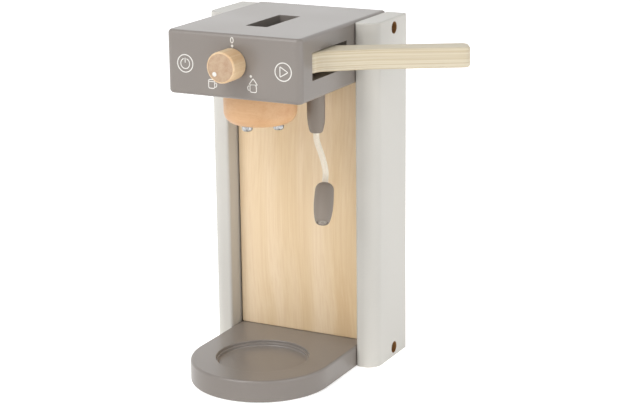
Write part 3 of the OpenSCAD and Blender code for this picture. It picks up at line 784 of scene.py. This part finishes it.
def disc(x, z, r, steps=28):
    """A flat round dot: centre + r * (cos a, sin a)."""
    a = np.linspace(0, 2 * math.pi, steps, endpoint=False)
    rim = np.column_stack([x + r * np.cos(a), z + r * np.sin(a)])
    return rim.tolist(), [tuple(range(steps))]


def bow(x, z, rx, rz, first, last, steps=40):
    """Points of an ellipse's arc from first to last degrees."""
    a = np.radians(np.linspace(first, last, steps))
    return np.column_stack([x + rx * np.cos(a), z + rz * np.sin(a)])


def soft_corners(points, r, steps=5):
    """A closed polygon whose corners are replaced by curves that start and end at the
    distance r from each corner: b + (1 - t)^2 (a - b) + t^2 (c - b)."""
    p = np.array(points, float)
    out = []
    for i in range(len(p)):
        b, a, c = p[i], p[i - 1], p[(i + 1) % len(p)]
        a = b + (a - b) / np.linalg.norm(a - b) * r
        c = b + (c - b) / np.linalg.norm(c - b) * r
        for t in np.linspace(0, 1, steps):
            out.append((1 - t) ** 2 * a + 2 * t * (1 - t) * b + t**2 * c)
    return np.array(out)


def make_marks():
    """The white marks on the head's face: a nought and a dot over the knob, a power ring,
    a play ring, a plain cup and a cup with a peak of cream."""
    full = 360 - 9
    cup = [(-17.8, 210.6), (-17.8, 204.9), (-13.4, 204.9), (-13.4, 210.6)]
    cup_rim = [(-17.6, 209.3), (-13.6, 209.3)]
    cup_ear = [(-13.3, 208.6), (-12.2, 208.4), (-11.8, 207.6), (-11.9, 206.5)]
    cup_ear += [(-12.5, 205.8), (-13.3, 205.9)]
    cream_cup = [(12.6, 209.5), (12.6, 204.8), (17.2, 204.8), (17.2, 209.5)]
    cream_peak = [(11.9, 209.7), (18.0, 209.7), (14.9, 213.6)]
    cream_ear = [(12.5, 208.8), (11.3, 208.6), (10.9, 207.8), (11.0, 206.5)]
    cream_ear += [(11.6, 205.9), (12.5, 206.1)]
    play_sign = [(34.3, 222.9), (34.3, 216.2), (40.0, 219.5)]
    ring_w, sign_w, cup_w, ear_w = 0.68, 0.62, 0.6, 0.55
    parts = {
        "mark_nought": [stroke(bow(0.1, 237.2, 0.95, 1.75, 0, full), cup_w, True)],
        "mark_dot": [disc(0.2, 233.5, 0.9)],
        "mark_power": [
            stroke(bow(-34.9, 219.6, 5.7, 5.7, 0, full), ring_w, True),
            stroke(bow(-34.9, 219.5, 3.3, 3.3, 112, 428), sign_w),
            stroke([(-34.9, 223.0), (-34.9, 220.3)], sign_w),
        ],
        "mark_play": [
            stroke(bow(36.6, 219.6, 5.8, 5.8, 0, full), ring_w, True),
            stroke(soft_corners(play_sign, 0.7), sign_w, True),
        ],
        "mark_cup": [
            stroke(soft_corners(cup, 1.2), cup_w, True),
            stroke(cup_rim, ear_w),
            stroke(cup_ear, ear_w),
        ],
        "mark_cream_cup": [
            stroke(soft_corners(cream_cup, 1.3), cup_w, True),
            stroke(soft_corners(cream_peak, 0.5), cup_w, True),
            stroke(cream_ear, ear_w),
            disc(13.3, 215.0, 0.85),
        ],
    }
    for name, pieces in parts.items():
        points, faces = [], []
        for xz, polygons in pieces:
            faces += [tuple(len(points) + k for k in f) for f in polygons]
            points += [(x * MM, (FACE - PRINT_PROUD) * MM, z * MM) for x, z in xz]
        mesh = bpy.data.meshes.new(name)
        mesh.from_pydata(points, [], faces)
        flat = np.empty(len(mesh.polygons) * 3)
        mesh.polygons.foreach_get("normal", flat)
        for polygon, away in zip(mesh.polygons, flat.reshape(-1, 3)[:, 1] > 0):
            if away:
                polygon.flip()
        place(name, mesh, PRINT, "body", soft=False)


# ---------------------------------------------------------------- kept nodes
def dress_nodes():
    """The fasteners, dowels and hidden rings keep their own shape and get a finish."""
    finishes = {"brew_head_screws": ZINC, "side_screws": YELLOW_ZINC}
    for name in (
        "knob_spindle",
        "knob_collar",
        "lever_pivot_dowel",
        "lever_spacer",
        "side_dowels",
        "board_dowels",
    ):
        finishes[name] = BARE_WOOD_WITH_HOLE_SHADE
    for name, material in finishes.items():
        node = NODES[name]
        node.data.materials.clear()
        node.data.materials.append(material)


# ---------------------------------------------------------------- stage
def make_floor():
    """A pale slab just under the toy that glows a little near it and more further off, so
    that it shows as white as the surround. It is the stage, and no part of the toy."""
    half, top, foot = 3000, -0.2, -60
    square = np.array([[-half, -half], [half, -half], [half, half], [-half, half]])
    slab = rings_mesh("floor", [np.column_stack([square, np.full(4, z)]) for z in (foot, top)])
    floor = bpy.data.objects.new("floor", slab)
    bpy.context.scene.collection.objects.link(floor)
    t = Tree("pale floor")
    grain = t.noise(t.coords((1, 1, 1)), 40, 2, 0.5)
    pale = t.mix(t.spread(grain, 0.3, 0.7), srgb("#fbfbfb"), srgb("#fefefe"))
    away = t.add(
        "VectorMath", {0: t.coords((1, 1, 1)), 1: GLOW_CENTRE}, operation="DISTANCE"
    ).outputs["Value"]
    glow = t.spread(away, GLOW_FROM, GLOW_TO, *FLOOR_GLOW)
    t.finish(
        Base_Color=pale, Roughness=0.9, Emission_Color=(1, 1, 1, 1), Emission_Strength=glow
    )
    slab.materials.append(t.material)


def make_world():
    """The surround: a little bluish soft light, a brighter white in reflections, and
    plain white behind the toy."""
    world = bpy.data.worlds.new("studio")
    bpy.context.scene.world = world
    world.use_nodes = True
    tree = world.node_tree
    tree.nodes.clear()
    path = tree.nodes.new("ShaderNodeLightPath")
    seen = None
    for ray, colour, strength in (
        (None, (0.95, 0.97, 1.0, 1), SKY),
        ("Is Glossy Ray", (1, 1, 1, 1), SKY_IN_GLOSS),
        ("Is Camera Ray", (1, 1, 1, 1), 1.0),
    ):
        light = tree.nodes.new("ShaderNodeBackground")
        light.inputs["Color"].default_value = colour
        light.inputs["Strength"].default_value = strength
        if ray is None:
            seen = light.outputs[0]
            continue
        mixed = tree.nodes.new("ShaderNodeMixShader")
        tree.links.new(path.outputs[ray], mixed.inputs[0])
        tree.links.new(seen, mixed.inputs[1])
        tree.links.new(light.outputs[0], mixed.inputs[2])
        seen = mixed.outputs[0]
    out = tree.nodes.new("ShaderNodeOutputWorld")
    tree.links.new(seen, out.inputs["Surface"])


def make_lamps():
    """Square soft lamps that face the middle of the toy."""
    for name, spot, size, power in LAMPS:
        data = bpy.data.lights.new(name, "AREA")
        data.shape = "SQUARE"
        data.size = size
        data.energy = power
        lamp = bpy.data.objects.new(name, data)
        bpy.context.scene.collection.objects.link(lamp)
        lamp.location = spot
        aim = Vector(LAMP_AIM) - Vector(spot)
        lamp.rotation_euler = aim.to_track_quat("-Z", "Y").to_euler()


def make_camera():
    """The camera of the photograph. back points from the toy to the camera, level lies in
    the floor's plane, and both picture axes are turned by the roll about back."""
    az, el, roll = (math.radians(v) for v in CAMERA_ANGLES)
    back = Vector((math.sin(az) * math.cos(el), -math.cos(az) * math.cos(el), math.sin(el)))
    level = Vector((math.cos(az), math.sin(az), 0))
    upright = back.cross(level)
    right = math.cos(roll) * level + math.sin(roll) * upright
    up = math.cos(roll) * upright - math.sin(roll) * level
    data = bpy.data.cameras.new("photo camera")
    data.sensor_width = 36.0
    data.lens = CAMERA_LENS
    data.clip_start = 0.05
    data.clip_end = 20
    camera = bpy.data.objects.new("photo camera", data)
    bpy.context.scene.collection.objects.link(camera)
    rows = [[right[i], up[i], back[i], CAMERA_SPOT[i]] for i in range(3)]
    camera.matrix_world = Matrix(rows + [[0, 0, 0, 1]])
    bpy.context.scene.camera = camera
    bpy.context.scene.view_settings.view_transform = "Standard"


# ---------------------------------------------------------------- build
make_head()
make_base()
make_panels()
make_back_board()
make_lever()
make_knob()
make_brew_head()
make_holder()
cord, wand, nozzle, cord_line, cord_length = make_frother()
make_marks()
dress_nodes()
make_floor()
make_world()
make_lamps()
make_camera()
bpy.context.view_layer.update()
